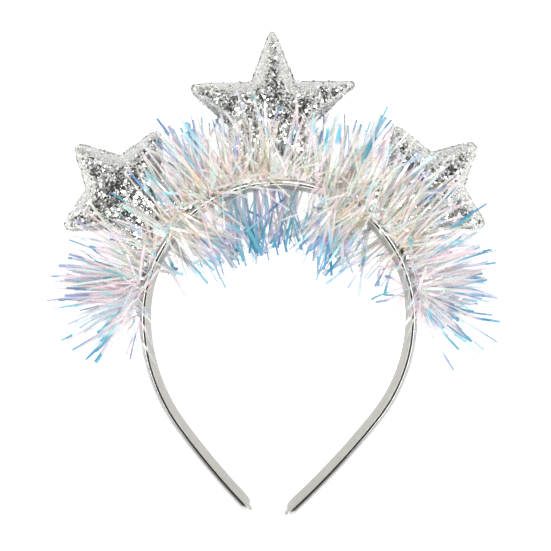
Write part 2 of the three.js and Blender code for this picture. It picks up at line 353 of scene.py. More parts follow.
def makeBand():
    bearings = []
    for sign, arcs in ((-1, arcsLeft), (1, arcsRight)):
        for arc in arcs:
            steps = math.ceil(math.radians(arc["end"] - arc["start"]) * arc["radius"] / cover["spacing"])
            bearings += (sign * np.linspace(arc["start"], arc["end"], steps, endpoint=False)).tolist()
        leg = arcs[-1]
        closer = cover["nearTip"] * cover["cornerRadius"]
        beforeTip = -closer * np.linspace(0, 1, cover["nearTipSteps"]) ** 2
        pastTip = cover["lip"] * np.array(cover["lipPlaces"])
        around = np.concatenate([beforeTip, pastTip])
        bearings += (sign * (leg["end"] + np.degrees(around / leg["radius"]))).tolist()
    bearings = np.unique(np.round(bearings, 5))
    legEnd = np.where(bearings < 0, arcsLeft[-1]["end"], arcsRight[-1]["end"])
    legRadius = np.where(bearings < 0, arcsLeft[-1]["radius"], arcsRight[-1]["radius"])
    fromEnd = np.radians(legEnd - np.abs(bearings)) * legRadius
    corner = cover["cornerRadius"]
    cut = np.clip(corner - fromEnd, 0, corner)
    halfWidths = strip["width"] / 2 - corner + np.sqrt(corner**2 - cut**2)
    past = np.clip(-fromEnd / cover["lip"], 0, 1)
    halfWidths = halfWidths * (1 - cover["lipNarrow"] * (1 - np.sqrt(1 - past**2)))
    blunt = np.clip(cover["endRound"] - fromEnd, 0, cover["endRound"]) / cover["endRound"]
    halfThicks = strip["thickness"] / 2 * np.maximum(np.sqrt(1 - blunt**2), cover["lipThickness"])
    seamShares = smoothStep(*cover["seam"]["fadeNearTip"], fromEnd)
    line, out = stripLine(bearings)
    rings = []
    lining = []
    outside = []
    seam = []
    for i in range(len(bearings)):
        section, dark = stripSection(halfWidths[i], halfThicks[i], seamShares[i])
        flat = line[i] + out[i] * section[:, :1]
        rings.append(np.column_stack([flat, section[:, 1] + strip["width"] / 2]))
        depth = section[:, 0] / halfThicks[i]
        lining.append(smoothStep(*cover["liningEdge"], depth))
        # mask of the outer side, where the painted shade goes
        outside.append(smoothStep(*cover["coverEdge"], depth))
        seam.append(dark)
    count = len(rings[0])
    faces = []
    for ring in range(len(rings) - 1):
        for i in range(count):
            a = ring * count + i
            b = ring * count + (i + 1) % count
            faces.append((a, a + count, b + count, b))
    last = (len(rings) - 1) * count
    faces.append(tuple(range(count)))
    faces.append(tuple(last + i for i in reversed(range(count))))
    piece = makePiece("headband_strip", np.concatenate(rings), faces)
    addValues(piece, "lining", np.concatenate(lining))
    addValues(piece, "outside", np.concatenate(outside))
    addValues(piece, "seam", np.concatenate(seam))
    piece.data.materials.append(leatherette())
    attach(piece, "root")
    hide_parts("band")
    print("strip made:", len(faces), "faces")


def leatherette():
    material, tree, shader = newMaterial("silver leatherette")
    lining = addAttribute(tree, "lining")
    place = addNode(tree, "ShaderNodeTexCoord", {}, "Object")
    lines = cover["grain"]
    brushed = addNode(tree, "ShaderNodeMapping", {0: place, "Scale": lines["scale"]})
    noise = {"Vector": brushed, "Scale": 1.0, "Detail": lines["detail"], "Roughness": lines["roughness"]}
    grain = addNode(tree, "ShaderNodeTexNoise", noise)
    cloud = cover["cloud"]
    noise = {"Vector": place, "Scale": cloud["scale"], "Detail": cloud["detail"]}
    cloudy = addNode(tree, "ShaderNodeTexNoise", noise)
    part = addNode(tree, "ShaderNodeMath", {0: cloudy, 1: cloud["share"]}, operation="MULTIPLY")
    shares = {0: grain, 1: 1 - cloud["share"], 2: part}
    tone = addNode(tree, "ShaderNodeMath", shares, operation="MULTIPLY_ADD")
    inside = addRamp(tree, tone, cover["liningTone"])
    # the outer side is painted darker than the folded edge: painted shade
    outside = addAttribute(tree, "outside")
    folded = addMix(tree, outside, linear(*cover["foldTone"]), linear(*cover["outsideShadeTone"]))
    silver = addMix(tree, lining, folded, inside)
    satin = addRange(tree, grain, *lines["span"], *cover["liningRoughness"])
    press = {"Height": grain, "Strength": cover["bump"]["strength"], "Distance": cover["bump"]["depth"]}
    setInputs(tree, shader, {
        "Base Color": addMix(tree, addAttribute(tree, "seam"), silver, linear(*cover["seam"]["tone"])),
        "Roughness": addBlend(tree, lining, cover["coverRoughness"], satin),
        "Metallic": cover["metallic"],
        "Normal": addNode(tree, "ShaderNodeBump", press),
    })
    return material


makeBand()

# puffed stars: corner reach of the arms in mm, clockwise from the top one, the notch after each arm, and
# how far each tip's rounding sets back
stars = dict(
    rows=dict(
        star_center=dict(
            arms=(38.6, 40.4, 50.0, 50.0, 43.3), notches=(16.6, 18.6, 16.6, 20.4, 16.6),
            tips=(5.5, 3.8, 5.5, 5.5, 9.5), bearing=-1.3, distance=92.9, turn=-1.4,
        ),
        star_left=dict(
            arms=(35.0, 35.0, 42.0, 42.0, 35.0), notches=(17.8, 17.2, 17.2, 17.2, 18.6),
            tips=(7.5, 7.5, 7.5, 7.5, 7.5), bearing=-51.1, distance=87.9, turn=-45.8,
        ),
        star_right=dict(
            arms=(35.0, 35.0, 42.0, 42.0, 35.0), notches=(18.6, 17.2, 17.2, 17.2, 17.8),
            tips=(7.5, 7.5, 7.5, 7.5, 7.5), bearing=48.9, distance=86.6, turn=48.0,
        ),
    ),
    notchRound=1.6,
    thickness=9.6,
    bevel=4.8,
    bevelPower=0.8,  # 1 is a straight slope, less is rounder
    bevelSag=0.45,  # the filling sits low, so the upper edges slope further in and the lower ones less
    leastBevel=0.25,  # share of it left at the tips, where the arms are narrow
    armPower=0.5,  # arms thin out towards their tips
    rimHalf=0.8,
    rings=(1, 0.96, 0.91, 0.84, 0.74, 0.6, 0.42, 0.22),
    stand=62.3,  # distance of the strip's outer face, where the feet are pressed flat
    voxel=0.95,
    simScale=10.0,  # cloth settings suit a star this many times larger
    pressure=4.0,
    frames=20,
    clothQuality=6,
    heldEdge=1.1,  # mm from the outline that the weld holds
    cap=0.9,  # most that the cloth may bulge
    relax=dict(factor=0.5, steps=3),
    weldWidth=(0.9, 0.45),  # welded edge inside and outside of the outline
    weldThickness=0.56,
    weldBlunt=0.7,
    fill=0.75,
    room=dict(scale=1.02, low=0.6, high=12.6),  # no strand of tinsel passes through here
)


def starOutline(row, roundSteps=7, edgeSteps=8):
    corners = []
    for arm, (reach, notch, tip) in enumerate(zip(row["arms"], row["notches"], row["tips"])):
        corners.append((bearingWay(72 * arm) * reach, tip))
        corners.append((bearingWay(72 * arm + 36) * notch, stars["notchRound"]))
    points = []
    for i, (at, setback) in enumerate(corners):
        after, afterSetback = corners[(i + 1) % len(corners)]
        start = at + unit(corners[i - 1][0] - at) * setback
        end = at + unit(after - at) * setback
        for t in np.linspace(0, 1, roundSteps):
            points.append((1 - t) ** 2 * start + 2 * t * (1 - t) * at + t * t * end)
        edgeEnd = after + unit(at - after) * afterSetback
        for t in np.linspace(0, 1, edgeSteps + 1)[1:-1]:
            points.append(end + (edgeEnd - end) * t)
    return np.array(points)


def outlineDistance(points, outline):
    nearest = np.full(points.shape[:-1], np.inf)
    for a, b in zip(outline, np.roll(outline, -1, 0)):
        along = b - a
        t = np.clip(((points - a) @ along) / (along @ along), 0, 1)
        nearest = np.minimum(nearest, np.linalg.norm(points - a - t[..., None] * along, axis=-1))
    return nearest


# how far the nearby edge faces up the headband, 1 for straight up and -1 for down
def edgeUpward(points, outline, row):
    along = np.roll(outline, -1, 0) - outline
    outward = unit(np.stack([-along[:, 1], along[:, 0]], -1))
    turn = math.radians(row["turn"])
    upward = outward[:, 1] * math.cos(turn) - outward[:, 0] * math.sin(turn)
    gap = np.linalg.norm(points[:, None] - (outline + along / 2), axis=-1)
    weight = 1 / (gap**2 + 1) ** 2
    return (weight * upward).sum(1) / weight.sum(1)


# how broad the arm still is at each point, 1 at the notches and 0 at the tip's corner
def armShare(points, row):
    arm = np.round(np.degrees(np.arctan2(points[:, 0], points[:, 1])) / 72).astype(int) % 5
    along = (points * bearingWay(72.0 * arm)).sum(1)
    reach = np.array(row["arms"])[arm]
    notches = np.array(row["notches"])
    base = np.minimum(notches[arm], notches[arm - 1]) * math.cos(math.radians(36))
    return np.clip((reach - along) / (reach - base), 0, 1)


# star's own mm to loop mm
def fromStar(points, row):
    turn = math.radians(row["turn"])
    x, y, z = np.moveaxis(points, -1, 0)
    centre = bearingWay(row["bearing"]) * row["distance"]
    east = x * math.cos(turn) + y * math.sin(turn) + centre[0]
    north = -x * math.sin(turn) + y * math.cos(turn) + centre[1]
    return np.stack([east, north, z + strip["width"] / 2], -1)


# loop plan to the star's own plan
def toStar(plan, row):
    turn = math.radians(row["turn"])
    x, y = np.moveaxis(plan - bearingWay(row["bearing"]) * row["distance"], -1, 0)
    across = x * math.cos(turn) - y * math.sin(turn)
    up = x * math.sin(turn) + y * math.cos(turn)
    return np.stack([across, up], -1)


def starBlank(row):
    outline = starOutline(row)
    count = len(outline)
    half = stars["thickness"] / 2
    rings = [outline * scale for scale in stars["rings"]]
    points = []
    faces = []
    for side in (1, -1):
        first = len(points)
        for ring in rings:
            share = armShare(ring, row)
            bevel = stars["bevel"] * np.maximum(share, stars["leastBevel"])
            bevel = bevel * (1 + stars["bevelSag"] * edgeUpward(ring, outline, row))
            inside = np.clip(outlineDistance(ring, outline) / bevel, 0, 1)
            puff = (half - stars["rimHalf"]) * share ** stars["armPower"]
            rise = stars["rimHalf"] + puff * inside ** stars["bevelPower"]
            points += np.column_stack([ring, side * rise]).tolist()
        middle = len(points)
        points.append([0.0, 0.0, side * half])
        for i in range(count):
            j = (i + 1) % count
            quads = []
            for r in range(len(rings) - 1):
                a = first + r * count + i
                b = first + r * count + j
                quads.append((a, b, b + count, a + count))
            quads.append((middle - count + i, middle - count + j, middle))
            faces += quads if side < 0 else [quad[::-1] for quad in quads]
    back = len(rings) * count + 1
    for i in range(count):
        j = (i + 1) % count
        faces.append((i, j, j + back, i + back))
    return np.array(points), faces, outline


# blows the blank up as cloth held at its welded edge; returns star mm points and faces
def inflate(name, row):
    points, faces, outline = starBlank(row)
    grow = stars["simScale"] * mm
    mesh = bpy.data.meshes.new(name + "_blank")
    mesh.from_pydata((points * grow).tolist(), [], faces)
    blank = bpy.data.objects.new(name + "_blank", mesh)
    scene = bpy.context.scene
    scene.collection.objects.link(blank)
    remesh = blank.modifiers.new("even", "REMESH")
    remesh.mode = "VOXEL"
    remesh.voxel_size = stars["voxel"] * grow
    pad = applied(blank, name + "_pad")
    start = meshPoints(pad)
    edge = outlineDistance(start[:, :2] / grow, outline)
    held = pad.vertex_groups.new(name="weld")
    for i in np.flatnonzero(edge < stars["heldEdge"]).tolist():
        held.add([i], 1.0, "REPLACE")
    cloth = pad.modifiers.new("cloth", "CLOTH")
    cloth.settings.use_pressure = True
    cloth.settings.uniform_pressure_force = stars["pressure"]
    cloth.settings.effector_weights.gravity = 0.0
    cloth.settings.vertex_group_mass = "weld"
    cloth.settings.quality = stars["clothQuality"]
    cloth.point_cache.frame_end = stars["frames"]
    for step in range(1, stars["frames"] + 1):
        scene.frame_set(step)
    pad = applied(pad, name + "_pad")
    moved = meshPoints(pad) - start
    length = np.linalg.norm(moved, axis=1, keepdims=True)
    cap = stars["cap"] * grow
    print(name, "cloth moved up to", round(float(length.max() / grow), 2), "mm")
    kept = start + moved * np.minimum(1, cap / np.maximum(length, 1e-9))
    pad.data.vertices.foreach_set("co", kept.astype(np.float32).ravel())
    pad.data.update()
    scene.frame_set(1)
    relax = pad.modifiers.new("relax", "SMOOTH")
    relax.factor = stars["relax"]["factor"]
    relax.iterations = stars["relax"]["steps"]
    finer = pad.modifiers.new("finer", "SUBSURF")
    finer.levels = 1
    finer.render_levels = 1
    pad = applied(pad, name + "_pad")
    faces = [tuple(polygon.vertices) for polygon in pad.data.polygons]
    points = meshPoints(pad) / grow
    bpy.data.objects.remove(pad)
    return points, faces, outline


def meshPoints(piece):
    points = np.zeros(len(piece.data.vertices) * 3, np.float32)
    piece.data.vertices.foreach_get("co", points)
    return points.reshape(-1, 3).astype(float)


# a new object with the modifiers' result; the old one goes
def applied(piece, name):
    graph = bpy.context.evaluated_depsgraph_get()
    mesh = bpy.data.meshes.new_from_object(piece.evaluated_get(graph))
    fresh = bpy.data.objects.new(name, mesh)
    bpy.context.scene.collection.objects.link(fresh)
    bpy.data.objects.remove(piece)
    return fresh


# flat welded edge all round a star
def weldRing(outline):
    along = unit(np.roll(outline, -1, 0) - np.roll(outline, 1, 0))
    outward = np.stack([-along[:, 1], along[:, 0]], -1)
    if ((outward * outline).sum(1)).mean() < 0:
        outward = -outward
    inner, outer = stars["weldWidth"]
    half = stars["weldThickness"] / 2
    blunt = outer * stars["weldBlunt"]
    corners = [(-inner, half), (blunt, half), (outer, 0), (blunt, -half), (-inner, -half)]
    rings = []
    for push, height in corners:
        rings.append(np.column_stack([outline + outward * push, np.full(len(outline), height)]))
    rings = np.stack(rings, 1)
    count = len(corners)
    faces = []
    for i in range(len(outline)):
        j = (i + 1) % len(outline)
        for k in range(count):
            m = (k + 1) % count
            faces.append((i * count + k, i * count + m, j * count + m, j * count + k))
    return rings.reshape(-1, 3), faces


# presses whatever reaches into the strip flat against its outer face
def standOnStrip(points):
    reach = np.linalg.norm(points[:, :2], axis=1, keepdims=True)
    points[:, :2] *= np.maximum(1, stars["stand"] / reach)
    return points


def makeStar(name, row, clothFinish):
    padPoints, padFaces, outline = inflate(name, row)
    edgePoints, edgeFaces = weldRing(outline)
    points = np.concatenate([padPoints, edgePoints])
    faces = padFaces + [tuple(len(padPoints) + i for i in face) for face in edgeFaces]
    piece = makePiece(name + "_pad", standOnStrip(fromStar(points, row)), faces)
    piece.data.materials.append(clothFinish)
    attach(piece, "root")
    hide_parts(name)
    print(name, "pad:", len(faces), "faces")
    return piece


# fine glitter between the big flakes: every small cell catches the light its own way
fineGlitter = dict(
    cell=0.42,
    tilt=0.36,
    tones=[(0.0, (150, 150, 147)), (0.55, (182, 182, 179)), (1.0, (214, 214, 211))],
    metallic=0.9,
    roughness=0.24,
)


def glitterCloth():
    material, tree, shader = newMaterial("fine glitter cloth")
    place = addNode(tree, "ShaderNodeTexCoord", {}, "Object")
    fine = {"Vector": place, "Scale": 1 / (fineGlitter["cell"] * mm)}
    cells = addNode(tree, "ShaderNodeTexVoronoi", fine, "Color")
    red = addNode(tree, "ShaderNodeSeparateColor", {0: cells})
    spread = addNode(tree, "ShaderNodeVectorMath", {0: cells, 1: (0.5, 0.5, 0.5)}, operation="SUBTRACT")
    tilt = addNode(tree, "ShaderNodeVectorMath", {0: spread, 3: fineGlitter["tilt"]}, operation="SCALE")
    facing = addNode(tree, "ShaderNodeNewGeometry", {}, "Normal")
    tipped = addNode(tree, "ShaderNodeVectorMath", {0: facing, 1: tilt}, operation="ADD")
    setInputs(tree, shader, {
        "Base Color": addRamp(tree, red, fineGlitter["tones"]),
        "Normal": addNode(tree, "ShaderNodeVectorMath", {0: tipped}, operation="NORMALIZE"),
        "Metallic": fineGlitter["metallic"],
        "Roughness": fineGlitter["roughness"],
    })
    return material


# big hexagonal flakes, each a thin plate set a little askew
flakes = dict(
    perStar=dict(star_center=5200, star_left=4400, star_right=4400),
    across=(0.75, 1.4),
    thickness=0.06,
    proud=(0.02, 0.16),
    tilt=dict(star_center=12.5, star_left=8.2, star_right=8.4),
    patch=6.0,  # mm across the patches where they lie flatter or stand up more
    patchWaves=10,
    patchTilt=0.5,
    tiltRange=(0.4, 1.9),
    level=(0.92, 0.985),  # few of them on the sloping sides, where the finer glitter shows
    slopeShare=0.05,
    tones=[(0.0, (140, 140, 136)), (0.5, (184, 184, 180)), (1.0, (236, 236, 233))],
    roughness=0.13,
    chart=dict(margin=0.03, size=0.02, front=0.3, back=0.7),
    seed=41,
)


def flakeFinish():
    material, tree, shader = newMaterial("silver flake")
    colour = addRamp(tree, addAttribute(tree, "tone"), flakes["tones"])
    setInputs(tree, shader, {"Base Color": colour, "Metallic": 1.0, "Roughness": flakes["roughness"]})
    return material


def scatterFlakes(name, pad, count, finish, seed):
    rng = np.random.default_rng(seed)
    mesh = pad.data
    mesh.calc_loop_triangles()
    corners = np.array([tuple(t.vertices) for t in mesh.loop_triangles])
    points = meshPoints(pad)
    normals = np.array([tuple(v.normal) for v in mesh.vertices])
    a, b, c = points[corners[:, 0]], points[corners[:, 1]], points[corners[:, 2]]
    crossed = np.cross(b - a, c - a)
    size = np.linalg.norm(crossed, axis=1)
    flatness = smoothStep(*flakes["level"], np.abs(crossed[:, 2]) / np.maximum(size, 1e-15))
    area = (size * (flakes["slopeShare"] + (1 - flakes["slopeShare"]) * flatness)).cumsum()
    picks = np.searchsorted(area, (np.arange(count) + rng.random(count)) / count * area[-1])
    u, v = rng.random((2, count, 1))
    folded = u + v > 1
    u = np.where(folded, 1 - u, u)
    v = np.where(folded, 1 - v, v)
    shares = [1 - u - v, u, v]
    spot = sum(share * points[corners[picks, i]] for i, share in enumerate(shares))
    facing = unit(sum(share * normals[corners[picks, i]] for i, share in enumerate(shares)))
    waveCount = flakes["patchWaves"]
    waves = unit(rng.normal(size=(waveCount, 3))) * 2 * math.pi / (flakes["patch"] * mm)
    swell = np.cos(spot @ waves.T + rng.uniform(0, 2 * math.pi, waveCount))
    patch = swell.sum(1, keepdims=True) / math.sqrt(waveCount / 2)
    askew = np.clip(1 + flakes["patchTilt"] * patch, *flakes["tiltRange"])
    tilt = math.tan(math.radians(flakes["tilt"][name])) * askew
    facing = unit(facing + rng.normal(0, 1, (count, 3)) * tilt)
    spot = spot + facing * rng.uniform(*flakes["proud"], (count, 1)) * mm
    side = unit(np.cross(facing, unit(rng.normal(size=(count, 3)))))
    other = np.cross(facing, side)
    radius = rng.uniform(*flakes["across"], (count, 1, 1)) / math.sqrt(3) * mm
    turns = np.radians(np.arange(6) * 60)
    rim = side[:, None] * np.cos(turns)[None, :, None] + other[:, None] * np.sin(turns)[None, :, None]
    half = facing[:, None] * flakes["thickness"] / 2 * mm
    top = spot[:, None] + rim * radius + half
    bottom = spot[:, None] + rim * radius - half
    plates = np.concatenate([top, bottom], 1).reshape(-1, 3)
    faces = []
    for first in range(0, count * 12, 12):
        faces.append(tuple(first + i for i in range(6)))
        faces.append(tuple(first + 11 - i for i in range(6)))
        for i in range(6):
            j = (i + 1) % 6
            faces.append((first + i, first + i + 6, first + j + 6, first + j))
    made = bpy.data.meshes.new(name + "_flakes")
    made.from_pydata(plates.tolist(), [], faces)
    piece = bpy.data.objects.new(name + "_flakes", made)
    bpy.context.scene.collection.objects.link(piece)
    tone = rng.random((count, 1)) + np.zeros(12)
    addValues(piece, "tone", tone)
    # on the chart each flake is two narrow hexagons at its tone, one for its front and one for its back
    chart = flakes["chart"]
    around = np.radians(np.arange(12) * 60 + 30)
    chartAcross = chart["margin"] + (1 - 2 * chart["margin"]) * tone + chart["size"] / 10 * np.cos(around)
    chartUp = np.repeat([chart["front"], chart["back"]], 6) + chart["size"] * np.sin(around)
    addChartMap(piece, chartAcross, chartUp + 0 * tone)
    made.materials.append(finish)
    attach(piece, "root")
    print(name, "flakes:", count)


clothFinish = glitterCloth()
plateFinish = flakeFinish()
for number, (name, row) in enumerate(stars["rows"].items()):
    pad = makeStar(name, row, clothFinish)
    scatterFlakes(name, pad, flakes["perStar"][name], plateFinish, flakes["seed"] + number)


# film strands: thin closed ribbons of clear pearly film, its tint turning from root to tip
film = dict(
    rings=8,
    thickness=0.05,
    root=[
        # the olive and tan first stops are painted shade: the brown shadow among the dense strands at the
        # roots
        (0.0, (128, 118, 96)),
        (0.1, (206, 192, 160)),
        (0.2, (244, 244, 241)),
        (0.32, (238, 207, 181)),
        (0.42, (241, 237, 218)),
        (0.51, (207, 210, 201)),
        (0.6, (195, 229, 214)),
        (0.7, (245, 245, 245)),
        (0.8, (239, 199, 205)),
        (0.9, (243, 241, 243)),
        (1.0, (210, 208, 233)),
    ],
    middle=[
        (0.0, (246, 203, 215)),
        (0.16, (236, 238, 240)),
        (0.32, (136, 206, 222)),
        (0.46, (213, 206, 240)),
        (0.6, (246, 216, 204)),
        (0.74, (246, 220, 228)),
        (0.86, (124, 196, 216)),
        (1.0, (179, 226, 211)),
    ],
    tip=[
        (0.0, (34, 120, 170)),
        (0.2, (42, 148, 188)),
        (0.38, (84, 182, 200)),
        (0.5, (98, 136, 200)),
        (0.6, (50, 160, 190)),
        (0.7, (154, 158, 200)),
        (0.79, (40, 138, 184)),
        (0.9, (70, 172, 190)),
        (1.0, (54, 132, 178)),
    ],
    toMiddle=(0.0, 0.5),
    toTip=(0.5, 0.9),
    alpha=(0.31, 0.7),  # at the root and at the tip, through one of the two faces
    roughness=0.2,
    metallic=0.15,
    chart=dict(margin=0.02, nudge=0.004),  # the nudge keeps a ring's four corners apart
)


def filmFinish():
    material, tree, shader = newMaterial("pearly film")
    tone = addAttribute(tree, "tone")
    cool = addAttribute(tree, "cool")
    tints = [addRamp(tree, tone, film[key]) for key in ("root", "middle", "tip")]
    lower = addMix(tree, addRange(tree, cool, *film["toMiddle"], 0.0, 1.0), tints[0], tints[1])
    colour = addMix(tree, addRange(tree, cool, *film["toTip"], 0.0, 1.0), lower, tints[2])
    setInputs(tree, shader, {
        "Base Color": colour,
        "Alpha": addRange(tree, cool, 0.0, 1.0, *film["alpha"]),
        "Roughness": film["roughness"],
        "Metallic": film["metallic"],
    })
    return material


# ribbons from ring centres (strands, rings, 3), the way across them, and their widths
def ribbonPiece(name, centres, across, widths, tone, cool, finish):
    count, rings = centres.shape[:2]
    ahead = unit(np.gradient(centres, axis=1))
    across = unit(across - ahead * (across * ahead).sum(-1, keepdims=True))
    facing = np.cross(ahead, across)
    side = across * widths[:, None, None] / 2
    half = facing * film["thickness"] / 2
    points = np.stack([
        centres + side + half,
        centres - side + half,
        centres - side - half,
        centres + side - half,
    ], 2)
    start = np.arange(count)[:, None, None] * rings * 4
    ring = np.arange(rings - 1)[None, :, None] * 4
    corner = np.arange(4)[None, None, :]
    a = start + ring + corner
    b = start + ring + (corner + 1) % 4
    walls = np.stack([a, b, b + 4, a + 4], -1).reshape(-1, 4)
    heads = start[:, 0] + np.array([[3, 2, 1, 0]])
    tails = start[:, 0] + (rings - 1) * 4 + np.array([[0, 1, 2, 3]])
    faces = np.concatenate([walls, heads, tails]).tolist()
    piece = makePiece(name, points.reshape(-1, 3), faces, smooth=False)
    toneAll = np.repeat(tone[:, :, None], 4, 2)
    coolAll = np.repeat(cool[:, :, None], 4, 2)
    addValues(piece, "tone", toneAll)
    addValues(piece, "cool", coolAll)
    margin = film["chart"]["margin"]
    nudge = film["chart"]["nudge"]
    addChartMap(
        piece,
        margin + (1 - 2 * margin) * toneAll + nudge * np.array([1, -1, -1, 1]),
        margin + (1 - 2 * margin) * coolAll + nudge * np.array([1, 1, -1, -1]),
    )
    piece.data.materials.append(finish)
    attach(piece, "root")
    print(name, "strands:", count)
    return piece


def inPolygon(points, corners):
    inside = np.zeros(points.shape[:-1], bool)
    x, y = points[..., 0], points[..., 1]
    for (ax, ay), (bx, by) in zip(corners, np.roll(corners, -1, 0)):
        crosses = (ay > y) != (by > y)
        rise = by - ay if abs(by - ay) > 1e-9 else 1e-9
        inside ^= crosses & (x < ax + (y - ay) / rise * (bx - ax))
    return inside


def inStars(points):
    hit = np.zeros(points.shape[:-1], bool)
    for row in stars["rows"].values():
        corners = starOutline(row, 3, 1) * stars["room"]["scale"]
        level = (points[..., 2] > stars["room"]["low"]) & (points[..., 2] < stars["room"]["high"])
        hit |= level & inPolygon(toStar(points[..., :2], row), corners)
    return hit


# garland of tufts; each group is a layer of strands, with ranges in mm and degrees
garland = dict(
    start=-90.0,
    end=86.0,
    endFan=24.0,  # strands turn past the garland's ends, within this many degrees of them
    endLean=(80.0, 62.0),  # at the left end and at the right end
    endShort=0.4,  # share of their reach that the most turned ones lose
    seed=7,
    width=(0.74, 1.2),
    broadShare=0.18,
    broad=1.4,
    patchShare=0.24,
    patch=0.6,
    sides=(52.0, 78.0),  # bearings between which the garland turns from cream to pink and blue
    sideTone=0.56,
    sideCool=0.1,
    tableGap=0.8,
    ceiling=28.0,  # no strand stands up further than this
    spares=3,  # tries for each strand wanted, since some would run into a star
    tuft=dict(breadth=2.2, lift=4.0, liftShare=0.6, reach=0.08, tone=0.35),
    strand=dict(
        shortest=6.0,
        turnPower=1.2,
        bend=0.06,
        droop=0.03,
        fold=dict(share=0.05, place=(0.45, 0.8), turn=1.1, flat=(1.0, 1.0, 0.4)),
        twist=dict(root=0.75, along=0.55),
        tone=dict(drift=0.5, grain=0.05),
        cool=dict(path=(0.3, 1.0), vary=(0.8, 1.0), pale=0.35),
        patch=dict(place=(0.35, 1.0), length=0.17),
    ),
    outer=[
        dict(name="low", count=340, tufts=46, offset=(1.8, 4.6), height=(2.0, 11.5), lift=(-10, 16),
             reach=(29.0, 5.5, 40.0), lean=(12, 12), cool=(0.0, 1.0), pale=0.54,
             reachShares=[(-78, 1.14), (-62, 1), (62, 1), (76, 1.14)]),
        dict(name="under", count=116, tufts=28, offset=(1.4, 5.0), height=(-2.8, -0.4), lift=(-3, 2),
             reach=(30.0, 5.5, 40.0), lean=(10, 14), cool=(0.1, 1.0), pale=0.44,
             reachShares=[(-78, 1.12), (-62, 1), (62, 1), (76, 1.12)]),
        dict(name="front", count=290, tufts=44, offset=(1.0, 4.8), height=(13.6, 16.5), lift=(5, 28),
             reach=(27.0, 6.0, 36.0), lean=(14, 13), cool=(0.0, 0.55), pale=0.7, patchShare=0.2,
             reachShares=[(-68, 1), (-58, 0.76), (-44, 0.76), (-34, 1)]),
        dict(name="core", count=245, tufts=54, offset=(1.6, 5.0), height=(12.7, 15.5), lift=(2, 28),
             reach=(12.0, 4.0, 20.0), lean=(70, 40), cool=(0.0, 0.3), pale=0.8),
        dict(name="right", count=46, tufts=10, spans=[(34, 60)], offset=(1.0, 4.8), height=(13.6, 16.5),
             lift=(4, 20), reach=(30.0, 4.5, 38.0), lean=(10, 10), cool=(0.0, 0.5), pale=0.8,
             patchShare=0.2),
        dict(name="between", count=80, tufts=16, spans=[(-42, -22), (22, 36)], offset=(1.8, 4.6),
             height=(2.0, 12.0), lift=(-6, 14), reach=(31.0, 5.0, 38.0), lean=(9, 10), cool=(0.1, 0.95),
             pale=0.4),
    ],
    late=[  # laid over the others, with draws of their own
        dict(name="sideways", count=84, tufts=18, spans=[(-82, -64), (60, 80)], offset=(1.8, 4.6),
             height=(3.0, 15.5), lift=(-6, 14), reach=(34.0, 4.0, 41.0), lean=(7, 8), cool=(0.0, 0.8),
             pale=0.6),
        dict(name="across", count=44, tufts=18, spans=[(-36, -4), (15, 30)], offset=(-1.2, 2.6),
             height=(13.2, 14.8), lift=(-2, 8), reach=(13.0, 4.0, 20.0), lean=(80, 25), cool=(0.0, 0.4),
             pale=0.7, patchShare=0.12),
    ],
    inner=[
        dict(name="fan", count=134, tufts=30, spans=[(-64, -24), (8, 66)], offset=(-1.4, 2.5),
             height=(-2.8, -1.2), lift=(0, 14), reach=(30.0, 4.5, 38.0), lean=(12, 12), cool=(0.15, 0.85),
             pale=0.6),
        dict(name="blue", count=54, tufts=16, spans=[(-28, 9)], offset=(-1.4, 2.5), height=(-2.8, -1.2),
             lift=(0, 14), reach=(28.0, 4.0, 34.0), lean=(10, 10), cool=(0.48, 1.0), pale=0.36,
             tones=(0.16, 0.64)),
        dict(name="over", count=116, tufts=20, spans=[(-52, -30), (20, 43)], offset=(0.0, 4.4),
             height=(13.8, 16.2), lift=(-15, 0), reach=(29.0, 4.5, 36.0), lean=(14, 13), cool=(0.0, 0.85),
             pale=0.58),
        dict(name="stray", count=14, tufts=8, spans=[(-82, -58), (58, 84)], offset=(-2.1, -1.7),
             height=(1.0, 6.0), lift=(-8, 8), reach=(20.0, 4.0, 28.0), lean=(20, 20), cool=(0.3, 1.0),
             pale=0.2, fold=1.0),
    ],
    innerWidth=(0.8, 1.3),
    innerShares=[(-82, 0.8), (-64, 0.55), (-50, 0.86), (-32, 1), (32, 1), (52, 0.94), (66, 0.6), (84, 0.8)],
)
for group in garland["inner"]:
    group["width"] = garland["innerWidth"]
    group["reachShares"] = garland["innerShares"]


def tuftPlaces(spans, tufts, rng):
    spans = np.array(spans, float)
    edges = np.concatenate([[0.0], (spans[:, 1] - spans[:, 0]).cumsum()])
    place = edges[-1] * (np.arange(tufts) + rng.random(tufts)) / tufts
    pick = np.searchsorted(edges, place, side="right") - 1
    return spans[pick, 0] + place - edges[pick]


